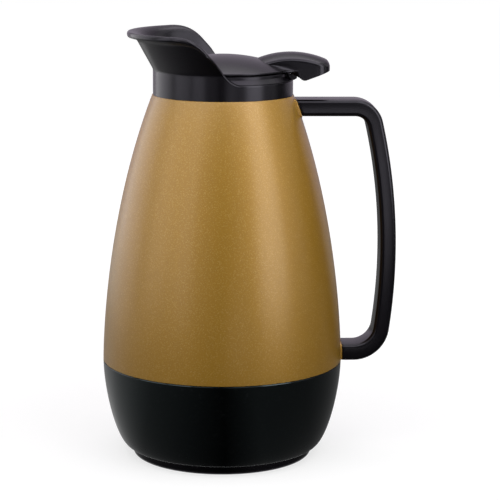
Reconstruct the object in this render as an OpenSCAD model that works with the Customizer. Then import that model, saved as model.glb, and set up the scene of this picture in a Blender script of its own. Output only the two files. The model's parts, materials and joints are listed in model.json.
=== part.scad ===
// Thermal carafe with a flip lid: a vacuum flask of glass in a moulded shell, with a black cup
// and screwed foot below it, a collar that flares into a broad spout above it, a pull-out
// stopper and a domed lid that a thumb lever tips open.
// Millimetres. The origin is on the body's axis in the plane it stands on; +Z is up, the
// spout points towards -X and the handle and the thumb lever towards +X.

/* [Body] */
// Widest diameter of the body, at the seam between cup and shell
body_d = 141; // [137:0.5:146]
// Height of that seam
seam_z = 57; // [52:0.5:62]
// Height of the shell's mouth, where the collar sits
mouth_z = 213.7; // [205:0.1:225]
// Diameter of the shell at its mouth
mouth_d = 82.1; // [80:0.1:86]
// Length of shell, below the mouth, that leans in like the mouth itself
shoulder_pull = 76; // [68:1:84]
// Inward lean of the shell at its mouth, in millimetres per millimetre of height
shoulder_lean = 0.385; // [0.3:0.005:0.44]
// Wall of the shell and of the cup
wall = 2.4; // [2:0.1:2.8]
// Depth to which the shell's tongue stands in the cup
tongue_h = 9; // [6:0.5:12]

/* [Foot] */
// Diameter of the foot ring
foot_d = 105.8; // [103:0.2:110]
// Height of the foot ring, up to the cup
foot_h = 5.4; // [4.8:0.1:7]
// Diameter of the round opening in the cup, which the foot cap closes
cap_d = 94.6; // [90:0.2:97]
// Height of the cap's collar above the foot ring
cap_collar_h = 8; // [6:0.5:10]
// Thickness of the cap's plate
cap_plate = 2.6; // [2:0.1:3]
// Thickness of the seal between cap and cup
base_seal_t = 1.2; // [0.8:0.1:1.6]

/* [Vacuum flask] */
// Gap between the shell's wall and the flask
flask_gap = 4.6; // [4.2:0.1:5.5]
// Wall of each of the two glass skins
glass_t = 1.6; // [1.2:0.1:1.8]
// Vacuum between the skins
vacuum_t = 4; // [3:0.1:4.6]
// Outer diameter of the flask's neck
flask_neck_d = 64; // [60:0.5:66]
// Height of the flask's lowest glass above the ground
flask_z = 17; // [15:0.5:20]
// Length of the pinched-off glass tip under the flask
tip_h = 6; // [4:0.5:7]
// Diameter of the rubber cushion under the flask
cushion_d = 76; // [66:1:82]
// Diameter of the spacer pads between the skins
spacer_d = 9; // [6:0.5:12]
// Thickness of the neck gasket between glass and collar
gasket_t = 2.6; // [2:0.1:3]

/* [Spout head] */
// Depth to which the head's spigot stands in the shell's neck
spigot_h = 11.1; // [10:0.1:12]
// Wall of the spigot
spigot_wall = 3.35; // [3:0.05:3.8]
// Height of the collar's rim above the shell's mouth, on the handle side
rim_h = 9.1; // [8:0.1:10]
// Height of the crease between collar and funnel above the shell's mouth
crease_h = 14.8; // [13.5:0.1:16]
// Outward lean of the funnel, in millimetres per millimetre of height
funnel_lean = 0.552; // [0.48:0.002:0.6]
// Height at which the funnel turns out into its lip, above the shell's mouth
lip_start_h = 31; // [29:0.1:32]
// Height of the lip's top above the shell's mouth
lip_top_h = 36.6; // [35:0.1:38]
// Reach of the lip from the axis
lip_reach = 55.5; // [54:0.1:58]
// Thickness of the lip's edge
lip_t = 3.4; // [2.6:0.1:3.8]
// Wall of the collar and the funnel
head_wall = 2.4; // [2:0.05:2.6]
// Distance of the rim's lowest point from the axis, towards the handle
rim_foot_x = 9.3; // [7:0.1:12]
// Distance from there, towards the spout, to where the rim is level again
rim_run = 39.5; // [37:0.1:42]

/* [Stopper] */
// Height of the stopper's ring above the collar's rim
ring_h = 4.6; // [4:0.1:5.2]
// Wall of the stopper's ring
ring_wall = 5.4; // [4.5:0.1:6]
// Wall of the stopper's skirt and floor
stopper_wall = 2.3; // [2:0.1:2.6]
// Depth of the stopper's skirt in the head's bore
skirt_h = 11; // [10:0.1:11]
// Diameter of the pouring hole
valve_d = 31; // [28:0.5:33]
// Width of the notch through which the drink leaves the ring
notch_w = 40; // [30:1:44]
// Depth of that notch
notch_h = 4.5; // [3:0.1:5]

/* [Lid] */
// Gap between the stopper's ring and the lid
lid_gap = 0.6; // [0.4:0.1:1]
// Height of the lid's upright edge
lid_edge = 1; // [0.8:0.1:1.6]
// Rise of the dome above that edge
dome_rise = 7.8; // [6.5:0.1:9]
// Wall of the lid's mouldings
lid_wall = 2.4; // [2:0.1:2.6]
// Width of the thumb lever
lever_w = 27; // [25:0.5:29]
// Distance of the lever's tip from the body's axis
lever_reach = 61.5; // [60:0.5:64]
// Height of the lever's crest above the lid's edge
lever_rise = 10.4; // [9:0.1:11]
// Radius of the lever's hump along its length
hump_r = 52; // [47:1:57]
// Distance of the hump's crest from the body's axis
hump_x = 39.3; // [38:0.1:40.5]
// Crown of the lever across its width
lever_crown = 3.4; // [2.5:0.1:4]
// Corner radius of the lever's tip, seen from above
tip_r = 8; // [5:0.5:10]
// Diameter of the hinge pin
pin_d = 2.5; // [2:0.1:3]
// Distance of the hinge axis beyond the ring, towards the handle
hinge_out = 4; // [3.8:0.1:4.6]
// Height of the hinge axis above the ring's top
hinge_up = 2.1; // [1.8:0.1:2.8]

/* [Handle] */
// Width of the handle
handle_w = 20; // [18:0.5:23]
// Thickness of its two bars
bar_t = 9.7; // [8.5:0.1:10.5]
// Thickness of its grip
grip_t = 9.3; // [8.5:0.1:10]
// Rounding of the handle's long edges
handle_edge = 2.4; // [1.5:0.1:3]
// Depth of the upper bar's middle below the shell's mouth
bar_drop = 7.15; // [7:0.05:8]
// Height of the lower bar's middle above the seam
bar_lift = 4.35; // [4.35:0.05:8]
// Distance from the widest body to the middle of the grip
grip_reach = 26.5; // [24:0.1:32]
// Radius of the grip's long bow
grip_bow = 332; // [280:2:400]
// Height of the bow's belly above the lower bar
belly_h = 60; // [50:1:75]
// Radius of the upper bend, at its middle
bend_top = 12; // [9:0.5:15]
// Radius of the lower bend, at its middle
bend_low = 16.5; // [13:0.5:20]
// Height of the flat pads on the shell that the handle butts against
pad_t = 0.2; // [0.1:0.05:1]
// Diameter of the handle screws
screw_d = 4; // [3.5:0.1:4]
// Length of a screw's shank
screw_l = 16; // [12:0.5:20]

/* [Fits] */
// Radial clearance of parts that are screwed or pushed together for good
slip = 0.15; // [0.1:0.01:0.2]
// Radial clearance of the stopper in the collar
loose = 0.25; // [0.2:0.01:0.35]
// Radial clearance of running fits: the hinge pin and the stopper's seal
running = 0.05; // [0.03:0.01:0.08]

/* [Hidden] */
$fn = 96;
cut = 1;          // overshoot of a cutting body past the face that it cuts
steps = 26;       // steps along a long profile curve
short_steps = 10; // steps along a short one
chamfer = 0.6;    // small edges of the mouldings are broken by this much

// ---- Curves -------------------------------------------------------------------------------

// Point at t on the cubic Bezier curve with control points p
function bezier(p, t) =
    pow(1 - t, 3) * p[0] + 3 * pow(1 - t, 2) * t * p[1] + 3 * (1 - t) * t * t * p[2] + pow(t, 3) * p[3];

// The curve as n steps, without its first point when it carries another curve on
function curve(p, n, first = 0) = [for (i = [first:n]) bezier(p, i / n)];

// A profile moved by d along its normals, to the left of its direction; never past the axis
function inset(pts, d) = [for (i = [0:len(pts) - 1])
    let (v = pts[min(i + 1, len(pts) - 1)] - pts[max(i - 1, 0)],
         p = pts[i] + d * [-v[1], v[0]] / norm(v)) [max(p[0], 0), p[1]]];

// Radius and lean of a profile at height z
function r_at(pts, z) = lookup(z, [for (p = pts) [p[1], p[0]]]);
function lean_at(pts, z) = (r_at(pts, z + 1) - r_at(pts, z - 1)) / 2;

// The part of a rising profile between two heights, ended exactly on them
function between(pts, z0, z1) = concat([[r_at(pts, z0), z0]],
    [for (p = pts) if (p[1] > z0 + 0.01 && p[1] < z1 - 0.01) p], [[r_at(pts, z1), z1]]);

// A solid of revolution under a profile that rises from z0 to z1, filled to the axis
module turned(pts) {
    rotate_extrude() polygon(concat([[0, pts[0][1]]], pts, [[0, pts[len(pts) - 1][1]]]));
}

// A ring with a rectangular section
module ring(r_in, r_out, z0, z1) {
    rotate_extrude() translate([r_in, z0]) square([r_out - r_in, z1 - z0]);
}

// A plate cut to an outline in X and Z, as wide as w along Y
module side_plate(outline, w) {
    rotate([90, 0, 0]) linear_extrude(w, center = true) polygon(outline);
}

// A round bar along X between x0 and x1, at height z
module bar_x(x0, x1, r, z) {
    translate([x0, 0, z]) rotate([0, 90, 0]) cylinder(h = x1 - x0, r = r);
}

// A round bar along Y, centred on y = 0, at x and z
module bar_y(x, z, r, w) {
    translate([x, 0, z]) rotate([90, 0, 0]) cylinder(h = w, r = r, center = true);
}

// ---- Body profiles ------------------------------------------------------------------------

body_r = body_d / 2;
mouth_r = mouth_d / 2;
foot_r = foot_d / 2;

// Outside of the cup, from the foot ring to the seam
bowl_step = 2.3;  // ledge between the foot ring and the bowl
bowl_out = 7.5;   // how far the bowl runs out before it turns up
bowl_up = 18.8;   // how far it stands upright below the seam
shell_up = 1.2;   // how far the shell stands upright above the seam
cup_out = curve([[foot_r + bowl_step, foot_h], [foot_r + bowl_step + bowl_out, foot_h],
    [body_r, seam_z - bowl_up], [body_r, seam_z]], steps);

// Outside of the shell, from the seam to the mouth
shell_out = curve([[body_r, seam_z], [body_r, seam_z + shell_up],
    [mouth_r + shoulder_lean * shoulder_pull, mouth_z - shoulder_pull], [mouth_r, mouth_z]], steps);

cup_in = inset(cup_out, wall);
shell_in = inset(shell_out, wall);

// ---- Shell --------------------------------------------------------------------------------

neck_extra = 0.15;                       // the shell's neck is this much thicker than its wall
neck_bore = mouth_r - wall - neck_extra; // bore for the head's spigot
neck_land = 3.7;                         // length of that bore
tongue_r = r_at(cup_in, seam_z - tongue_h) - slip;
tongue_wall = 2.2;
tongue_rise = 4;                         // the tongue's ring thickens the shell up to here
tongue_top = seam_z + tongue_rise;
tongue_run = 0.5;                        // rise over which the thick part runs out

bar_top_z = mouth_z - bar_drop;
bar_low_z = seam_z + bar_lift;
pad_over = 0.5;                          // the pads stand this far round the handle's ends
screw_drop = 0.85;                       // the upper screw's head has to clear the head's spigot
screw_top_z = bar_top_z - screw_drop;
screw_low_z = bar_low_z;
seat_t = 0.8;                            // height of the flat seats under the screw heads
seat_r = 5.2;
head_t = 1.9;                            // screw head
head_r = 3.4;
screw_r = screw_d / 2;

// Plane that a bar's end lies in: x at height z, parallel to the shell beside it
function face_x(z_bar, z) = r_at(shell_out, z_bar) + pad_t + (z - z_bar) * lean_at(shell_out, z_bar + 1);
// Flat inside the shell that a screw's head lies on
function seat_x(z) = r_at(shell_in, z) - seat_t;

module handle_pad(z_bar, z_low) {
    z_high = z_bar + bar_t / 2 + pad_over;
    side_plate([[r_at(shell_out, z_bar) - 3 * wall, z_low], [face_x(z_bar, z_low), z_low],
        [face_x(z_bar, z_high), z_high], [r_at(shell_out, z_bar) - 3 * wall, z_high]],
        handle_w + 2 * pad_over);
}

module outer_shell() {
    color([0.62, 0.46, 0.19]) difference() {
        union() {
            turned(shell_out);
            ring(tongue_r - tongue_wall, tongue_r, seam_z - tongue_h, tongue_top);
            handle_pad(bar_top_z, bar_top_z - bar_t / 2 - pad_over);
            handle_pad(bar_low_z, seam_z);
        }
        difference() {
            turned(concat([[r_at(shell_in, tongue_top), tongue_top]],
                between(shell_in, tongue_top + tongue_run, mouth_z - neck_land)));
            for (z = [screw_top_z, screw_low_z]) bar_x(seat_x(z), body_r, seat_r, z);
        }
        translate([0, 0, seam_z - tongue_h - cut])
            cylinder(h = tongue_top - seam_z + tongue_h + cut, r = tongue_r - tongue_wall);
        translate([0, 0, mouth_z - neck_land]) cylinder(h = neck_land + cut, r = neck_bore);
        for (z = [screw_top_z, screw_low_z]) {
            bar_x(seat_x(z) - head_t - 2 * cut, seat_x(z), head_r + slip, z);
            bar_x(seat_x(z) - cut, body_r + 2 * pad_t, screw_r + slip, z);
        }
    }
}

// ---- Cup and foot -------------------------------------------------------------------------

cup_floor = 3.2;                         // thickness of the cup's floor ring
cup_collar_up = 1;                       // the cup's collar stands this far above the cap's
cap_r = cap_d / 2;
cap_collar_t = 3;                        // wall of the upright collars of cup and cap
seal_w = 3.2;                            // width of the base seal
foot_edge = 1.2;                         // rounding of the foot ring's lower edge
foot_ring_w = 7;                         // width of the foot ring that stands on the table
foot_recess = 2.6;                       // depth of the hollow under the cap's plate
grip_bar = [64, 7, 1.8];                 // bar under the cap by which it is turned

module base_cup() {
    floor_z = foot_h + cup_floor;
    color([0.03, 0.03, 0.03]) difference() {
        turned(cup_out);
        difference() {
            turned(concat([[r_at(cup_in, floor_z), floor_z]],
                between(cup_in, floor_z + foot_edge / 4, seam_z - foot_edge / 4),
                [[r_at(cup_in, seam_z), seam_z + cut]]));
            ring(cap_r, cap_r + cap_collar_t, foot_h, foot_h + cap_collar_h + cup_collar_up);
        }
        translate([0, 0, foot_h - cut]) cylinder(h = cup_floor + 2 * cut, r = cap_r);
    }
}

module base_cap() {
    r = foot_r;
    color([0.04, 0.04, 0.04]) difference() {
        union() {
            turned(concat([[r - foot_edge, 0]],
                [for (a = [30:30:90]) [r - foot_edge + foot_edge * sin(a), foot_edge - foot_edge * cos(a)]],
                [[r, foot_h]]));
            ring(cap_r - slip - cap_collar_t, cap_r - slip, foot_recess, foot_h + cap_collar_h);
        }
        difference() {
            translate([0, 0, -cut]) cylinder(h = foot_recess + cut, r = r - foot_ring_w);
            translate([0, 0, foot_recess - grip_bar[2] / 2]) cube(grip_bar, center = true);
        }
        translate([0, 0, foot_recess + cap_plate])
            cylinder(h = foot_h + cap_collar_h, r = cap_r - slip - cap_collar_t);
        ring(cap_r - slip, cap_r + seal_w, foot_h - base_seal_t, foot_h + cut);
    }
}

module base_seal() {
    color([0.25, 0.25, 0.25]) ring(cap_r + slip, cap_r + seal_w - slip, foot_h - base_seal_t, foot_h);
}

// ---- Vacuum flask -------------------------------------------------------------------------

flask_neck_r = flask_neck_d / 2;
gasket_z = mouth_z - spigot_h - gasket_t;    // top of the glass, under the gasket
flask_r = body_r - wall - flask_gap;
shoulder_h = 33;                             // glass shoulder and neck
shoulder_z = gasket_z - shoulder_h;
neck_h = 9;                                  // upright part of the flask's neck
neck_pull = 12;                              // how far the shoulder bends into the neck
shoulder_out = 8;                            // how far the side's lean goes on into the shoulder
belly_z = seam_z + 5;                        // from here up the glass runs along the shell
bottom_r = 0.6;                              // flat middle of the round bottom, share of its radius
bottom_up = 13;                              // height at which the bottom has turned upright
flask_side = between(inset(shell_out, wall + flask_gap), belly_z, shoulder_z);
shoulder_r = r_at(flask_side, shoulder_z);
shoulder_dr = lean_at(flask_side, shoulder_z - 2);

// Outside of the glass: round bottom, sides parallel to the shell, shoulder, upright neck
flask_profile = concat(
    curve([[0, flask_z], [flask_r * bottom_r, flask_z], [flask_r, flask_z + bottom_up], flask_side[0]],
        short_steps * 2),
    [for (i = [1:len(flask_side) - 1]) flask_side[i]],
    curve([[shoulder_r, shoulder_z], [shoulder_r + shoulder_out * shoulder_dr, shoulder_z + shoulder_out],
        [flask_neck_r, gasket_z - neck_h - neck_pull], [flask_neck_r, gasket_z - neck_h]], short_steps, 1),
    [[flask_neck_r, gasket_z]]);
glass_in = inset(flask_profile, glass_t);
inner_out = inset(flask_profile, glass_t + vacuum_t);
inner_in = inset(flask_profile, 2 * glass_t + vacuum_t);
mouth_glass = flask_neck_r - glass_t;        // where the two skins are fused at the mouth
hairline = 0.05;                             // seam between parts that touch all round
tip_glass_r = [2.4, 4];                      // radius of the glass tip at its end and its root

module flask_outer() {
    color([0.75, 0.78, 0.8, 0.6]) difference() {
        union() {
            turned(flask_profile);
            translate([0, 0, flask_z - tip_h])
                cylinder(h = tip_h + glass_t / 2, r1 = tip_glass_r[0], r2 = tip_glass_r[1]);
        }
        turned(concat(glass_in, [[mouth_glass, gasket_z + cut]]));
    }
}

module flask_inner() {
    color([0.85, 0.87, 0.9, 0.6]) difference() {
        union() {
            turned(inner_out);
            ring(mouth_glass - vacuum_t - cut, mouth_glass - hairline, gasket_z - glass_t, gasket_z);
        }
        turned(concat(inner_in, [[mouth_glass - vacuum_t - glass_t, gasket_z + cut]]));
    }
}

// Three pads that keep the skins apart, a third of a turn from each other
module flask_spacers() {
    spacer_z = belly_z - 2;
    color([0.6, 0.58, 0.52]) for (turn = [60, 180, 300]) rotate([0, 0, turn]) intersection() {
        bar_x(flask_r - glass_t - vacuum_t - cut, flask_r, spacer_d / 2, spacer_z);
        difference() {
            turned(inset(flask_profile, glass_t + hairline));
            turned(inset(flask_profile, glass_t + vacuum_t - hairline));
        }
    }
}

// Rubber cup that the flask's round bottom rests in, on the foot cap's plate
module flask_cushion() {
    plate_z = foot_recess + cap_plate;
    r = cushion_d / 2;
    edge = 1.5;
    hole = tip_glass_r[1] + 4;
    bed = [for (p = inset(flask_profile, -slip)) if (p[0] > hole && p[0] < r && p[1] < seam_z) p];
    color([0.2, 0.2, 0.2]) rotate_extrude()
        polygon(concat([[hole, plate_z], [r - edge, plate_z], [r, plate_z + edge]],
            [for (i = [len(bed) - 1:-1:0]) bed[i]], [[hole, bed[0][1]]]));
}

// Rubber ring between the glass and the head, with a skirt that centres the flask's neck
module neck_gasket() {
    skirt = 2.2;
    skirt_h = 2 * gasket_t;
    color([0.3, 0.3, 0.3]) union() {
        ring(mouth_glass - vacuum_t - glass_t, flask_neck_r + skirt, gasket_z, gasket_z + gasket_t);
        ring(flask_neck_r + slip, flask_neck_r + skirt, gasket_z - skirt_h, gasket_z + gasket_t / 2);
    }
}

// ---- Spout head ---------------------------------------------------------------------------

collar_step = 0.4;                           // the collar stands a hair inside the shell's mouth
collar_r = mouth_r - collar_step;
rim_z = mouth_z + rim_h;
crease_z = mouth_z + crease_h;
lip_z = mouth_z + lip_start_h;
lip_top = mouth_z + lip_top_h;
spigot_r = neck_bore - slip;
spigot_z = mouth_z - spigot_h;
bore_r = spigot_r - spigot_wall;             // bore that the stopper's skirt seals in
ledge_t = 3;                                 // ledge that clamps the gasket
bore_floor = spigot_z + ledge_t;
seat_up = 3.3;                               // from here up the bore is wide, for the ring
seat_z = mouth_z + seat_up;
wide_r = collar_r - head_wall;
throat_r = mouth_glass - vacuum_t - glass_t + chamfer;
funnel_r = collar_r + funnel_lean * (lip_z - crease_z);
lean_wall = head_wall * sqrt(1 + pow(funnel_lean, 2));   // the funnel's wall, measured level
wide_top = crease_z + (lean_wall - head_wall) / funnel_lean;

// Outside of collar, funnel and out-turned lip, then back down the inside of the funnel
lip_nose = 0.9;                              // how far the lip's rounded edge stands out
bend_out = 1.1;                              // rise over which the outside starts to turn out
bend_in = 3.4;                               // the same for the inside
lip_flat = 4;                                // level part of the lip's top
head_profile = concat(
    [[collar_r, mouth_z], [collar_r, crease_z]],
    curve([[funnel_r, lip_z], [funnel_r + bend_out * funnel_lean, lip_z + bend_out],
        [lip_reach - 2 * lip_nose, lip_top - lip_t], [lip_reach - lip_nose, lip_top - lip_t]], short_steps),
    [for (a = [-60:30:60]) [lip_reach - lip_nose * (1 - cos(a)), lip_top - lip_t / 2 * (1 - sin(a))]],
    curve([[lip_reach - lip_nose, lip_top], [lip_reach - lip_flat, lip_top],
        [funnel_r - lean_wall + bend_in * funnel_lean, lip_z + bend_in],
        [funnel_r - lean_wall, lip_z]], short_steps),
    [[wide_r, wide_top], [wide_r, seat_z], [bore_r, seat_z], [bore_r, bore_floor],
     [throat_r, bore_floor], [throat_r, spigot_z], [spigot_r, spigot_z], [spigot_r, mouth_z]]);

// The rim seen from the side: level over the spout, then sweeping down to the handle side.
// The drop's steepest place lies this share of the run before its end.
rim_drop = [0.41, 0.338];
rim_curve = curve([[rim_foot_x - rim_run, lip_top], [rim_foot_x - rim_run * rim_drop[0], lip_top],
    [rim_foot_x - rim_run * rim_drop[1], rim_z], [rim_foot_x, rim_z]], 2 * short_steps);

// The lip's edge from above: round as far as this angle from the spout's middle, then running
// into the funnel's side, so that the lip has died away where the rim sweeps down
lip_round = 52;
lip_leave = 10;                              // how far the edge goes on in its old direction
lip_arrive = [-8, 2.5];                      // where it comes from when it meets the funnel
lip_fade = 10;                               // distance before the axis at which it has died away
fade_r = collar_r + funnel_lean * (lookup(-lip_fade, rim_curve) - crease_z) + hairline;
lip_from = lip_reach * [-cos(lip_round), sin(lip_round)];
lip_to = [-lip_fade, sqrt(pow(fade_r, 2) - pow(lip_fade, 2))];
lip_side = curve([lip_from, lip_from + lip_leave * [sin(lip_round), cos(lip_round)],
    lip_to + lip_arrive, lip_to], short_steps);

module spout_head() {
    color([0.05, 0.05, 0.055]) difference() {
        rotate_extrude() polygon(head_profile);
        side_plate(concat([[-lip_reach - 2 * cut, lip_top]], rim_curve,
            [[lip_reach + 2 * cut, rim_z], [lip_reach + 2 * cut, lip_top + cut],
             [-lip_reach - 2 * cut, lip_top + cut]]), 3 * lip_reach);
        for (side = [-1, 1]) translate([0, 0, crease_z + cut]) linear_extrude(lip_top - crease_z)
            polygon([for (p = concat(lip_side, [[lip_to[0], 2 * lip_reach], 2 * lip_from]))
                [p[0], side * p[1]]]);
    }
}

// ---- Handle -------------------------------------------------------------------------------

// The handle's middle line lies in the plane y = 0: a level bar, a bend, the long bow of the
// grip, a wider bend and a level bar back. Each arc touches the next, so the bends' centres
// follow from the bow: seen from the bow's centre they lie at its radius less their own.
bow_x = body_r + grip_reach - grip_bow;
bow_z = bar_low_z + belly_h;
bend_top_z = bar_top_z - bend_top;
bend_low_z = bar_low_z + bend_low;
bend_top_x = bow_x + sqrt(pow(grip_bow - bend_top, 2) - pow(bend_top_z - bow_z, 2));
bend_low_x = bow_x + sqrt(pow(grip_bow - bend_low, 2) - pow(bend_low_z - bow_z, 2));
turn_top = atan2(bend_top_x - bow_x, bend_top_z - bow_z);
turn_low = atan2(bend_low_x - bow_x, bend_low_z - bow_z);

// A station of the middle line: x, z and how far the line has turned down from level
function arc_station(x, z, r, turn) = [x + r * sin(turn), z + r * cos(turn), turn];
bend_steps = 7;
bow_steps = 14;
stations = concat(
    [for (i = [0:bend_steps]) arc_station(bend_top_x, bend_top_z, bend_top, turn_top * i / bend_steps)],
    [for (i = [1:bow_steps - 1]) arc_station(bow_x, bow_z, grip_bow,
        turn_top + (turn_low - turn_top) * i / bow_steps)],
    [for (i = [0:bend_steps]) arc_station(bend_low_x, bend_low_z, bend_low,
        turn_low + (180 - turn_low) * i / bend_steps)]);

// A rounded rectangle, w by t, as points round its middle
function rounded(w, t, r, n = 4) = [for (q = [0:3], i = [0:n])
    let (a = 90 * q + 90 * i / n)
    [(q == 0 || q == 3 ? 1 : -1) * (w / 2 - r) + r * cos(a), (q < 2 ? 1 : -1) * (t / 2 - r) + r * sin(a)]];

// Bars and grip differ in thickness, and the bends pass from one to the other
function thickness(turn) = grip_t + (bar_t - grip_t) * pow(cos(turn), 2);
function section_at(s) = [for (p = rounded(handle_w, thickness(s[2]), handle_edge))
    [s[0] + p[1] * sin(s[2]), p[0], s[1] + p[1] * cos(s[2])]];
// An end section lies in the plane of its pad
function end_section(z_bar, side) = [for (p = rounded(handle_w, bar_t, handle_edge))
    let (z = z_bar + side * p[1]) [face_x(z_bar, z), p[0], z]];

module handle() {
    sections = concat([end_section(bar_top_z, 1)], [for (s = stations) section_at(s)],
        [end_section(bar_low_z, -1)]);
    n = len(sections[0]);
    last = len(sections) - 1;
    color([0.06, 0.06, 0.065]) difference() {
        polyhedron(points = [for (s = sections) each s], faces = concat(
            [[for (i = [0:n - 1]) i]],
            [for (k = [0:last - 1], i = [0:n - 1]) [k * n + i, (k + 1) * n + i, k * n + (i + 1) % n]],
            [for (k = [0:last - 1], i = [0:n - 1])
                [k * n + (i + 1) % n, (k + 1) * n + i, (k + 1) * n + (i + 1) % n]],
            [[for (i = [n - 1:-1:0]) last * n + i]]));
        for (z = [screw_top_z, screw_low_z])
            bar_x(seat_x(z) - cut, seat_x(z) + screw_l + cut, screw_r + hairline, z);
    }
}

module handle_screws() {
    color([0.7, 0.7, 0.7]) for (z = [screw_top_z, screw_low_z]) union() {
        bar_x(seat_x(z) - head_t, seat_x(z), head_r, z);
        bar_x(seat_x(z) - head_t / 2, seat_x(z) + screw_l, screw_r, z);
    }
}

// ---- Stopper ------------------------------------------------------------------------------

ring_r = wide_r - loose;
ring_top = rim_z + ring_h;
ring_in = ring_r - ring_wall;
skirt_r = bore_r - slip;
skirt_z = seat_z - skirt_h;
stop_gap = 0.15;                             // air under the ring when its flange rests on the rim
floor_z = seat_z + stop_gap;
flange_r = collar_r - hairline;
flange_slope = 2.6;                          // the flange's face falls this far at 45 degrees
flange_edge = 0.2;                           // upright edge left at the flange's rim
rim_play = 0.4;                              // play between the flange's ends and the rising rim
valve_r = valve_d / 2;
valve_seat_h = 1.5;                          // raised seat round the pouring hole
valve_seat_w = 3.2;                          // width of that seat at its foot
ring_foot = 2.4;                             // the ring spreads by this much where it meets the floor
seal_up = 3.2;                               // height of the seal above the skirt's lower edge
seal_z = skirt_z + seal_up;
seal_h = 2.8;
seal_deep = 1.4;
hinge_x = ring_r + hinge_out;
hinge_z = ring_top + hinge_up;
pin_r = pin_d / 2;
eye_wall = 1.6;                              // plastic round the pin
eye_r = pin_r + eye_wall;
eye_slot = 1.8;                              // width of the slot through which the pin snaps in
slot_turn = -50;                             // direction of that slot, up and outwards
post_y = [5.2, 8.2];                         // near and far side of each hinge post
post_front = ring_r + 1.6;
post_back = ring_r + 4.4;
gusset = [1, 2];                             // foot of the post: lower and upper corner's height

module hinge_post() {
    t = post_y[1] - post_y[0];
    y = (post_y[0] + post_y[1]) / 2;
    translate([0, y, 0]) difference() {
        union() {
            side_plate([[ring_r, rim_z], [collar_r, rim_z], [post_back, rim_z + gusset[0]],
                [post_back, hinge_z], [post_front, hinge_z], [post_front, rim_z + gusset[1]],
                [ring_r - chamfer, ring_top - gusset[0]]], t);
            bar_y(hinge_x, hinge_z, eye_r, t);
        }
        bar_y(hinge_x, hinge_z, pin_r + running, t + cut);
        translate([hinge_x, -t, hinge_z]) rotate([0, slot_turn, 0])
            translate([0, 0, -eye_slot / 2]) cube([2 * eye_r, 2 * t, eye_slot]);
    }
}

module pour_stopper() {
    flange_top = rim_z + flange_slope;
    color([0.07, 0.07, 0.075]) union() {
        difference() {
            union() {
                rotate_extrude() polygon([[0, floor_z - stopper_wall],
                    [skirt_r - stopper_wall, floor_z - stopper_wall], [skirt_r - stopper_wall, skirt_z],
                    [skirt_r, skirt_z], [skirt_r, floor_z], [ring_r, floor_z],
                    [ring_r, ring_top - chamfer], [ring_r - chamfer, ring_top],
                    [ring_in + chamfer, ring_top], [ring_in, ring_top - chamfer],
                    [ring_in - ring_foot / 2, floor_z + ring_foot / 2], [ring_in - ring_foot, floor_z],
                    [valve_r + valve_seat_w, floor_z],
                    [valve_r + valve_seat_w - valve_seat_h / 2, floor_z + valve_seat_h],
                    [0, floor_z + valve_seat_h]]);
                intersection() {
                    rotate_extrude() polygon([[ring_r - cut, rim_z], [flange_r, rim_z],
                        [flange_r, rim_z + flange_edge], [ring_r, flange_top], [ring_r - cut, flange_top]]);
                    side_plate(concat([for (p = rim_curve) p + [rim_play, 0]],
                        [[2 * collar_r, rim_z], [2 * collar_r, lip_top]]), 3 * collar_r);
                }
            }
            translate([0, 0, floor_z - stopper_wall - cut])
                cylinder(h = stopper_wall + valve_seat_h + 2 * cut, r = valve_r);
            translate([-ring_r - cut, -notch_w / 2, ring_top - notch_h])
                cube([ring_r, notch_w, notch_h + cut]);
            ring(skirt_r - seal_deep, skirt_r + cut, seal_z, seal_z + seal_h);
        }
        hinge_post();
        mirror([0, 1, 0]) hinge_post();
    }
}

module stopper_seal() {
    color([0.55, 0.53, 0.5]) ring(skirt_r - seal_deep + slip, bore_r - running, seal_z + slip,
        seal_z + seal_h - slip);
}

// ---- Lid ----------------------------------------------------------------------------------

lid_r = ring_r;
lid_z = ring_top + lid_gap;
dome_z = lid_z + lid_edge;
dome_r = (pow(lid_r, 2) + pow(dome_rise, 2)) / (2 * dome_rise);
dome_centre = dome_z + dome_rise - dome_r;
rim_w = 5;                                   // width of the lid's rim, which holds the lid base
rim_in = lid_r - rim_w;
rim_flat = 1.5;                              // the rim is this much wider where the lever starts
tall = 2 * (dome_rise + lever_rise);         // taller than anything on the lid

// Dome of radius r about the dome's centre, over a cylinder of radius edge from z0 up
module dome(r, edge, z0) {
    intersection() {
        translate([0, 0, dome_centre]) sphere(r, $fn = 2 * $fn);
        translate([0, 0, z0]) cylinder(h = tall, r = edge);
    }
}

// The lever's outside is where three forms meet: its hump, turned about an axis across the
// lid; its outline from the side; and its outline from above
crest_z = lid_z + lever_rise;
hump_z = crest_z - hump_r;
crown_r = (pow(lever_w / 2, 2) + pow(lever_crown, 2)) / (2 * lever_crown);
lever_start = 16;                            // the hump rises out of the dome from here
tip_up = 0.2;                                // height of the tip's lower edge above the lid's
tip_z = lid_z + tip_up;
tip_drop = 7;                                // the tip's end face reaches up to here under the crest
tip_round = [[1.6, 5.2], [4.6, 2.6], 8];     // its rounding: distances from the end, under the crest
arch_r = 4.6;                                // arch under the lever's sides, behind the hinge
arch_x = 14.6;                               // the arch's outer end, measured from the lever's tip

module hump(in) {
    w = lever_w / 2 - in;
    translate([hump_x, 0, hump_z]) rotate([-90, 0, 0]) rotate_extrude() intersection() {
        translate([hump_r - in - crown_r, 0]) circle(crown_r, $fn = 2 * $fn);
        translate([hump_r / 2, -w]) square([hump_r, 2 * w]);
    }
}

module lever_plan(in) {
    r = max(tip_r - in, 1);
    w = lever_w / 2 - in;
    x = lever_reach - in;
    translate([0, 0, rim_z - cut]) linear_extrude(tall) union() {
        translate([0, -w]) square([x - r, 2 * w]);
        translate([x - r - cut, -w + r]) square([r + cut, 2 * (w - r)]);
        for (s = [-1, 1]) translate([x - r, s * (w - r)]) circle(r);
    }
}

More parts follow.
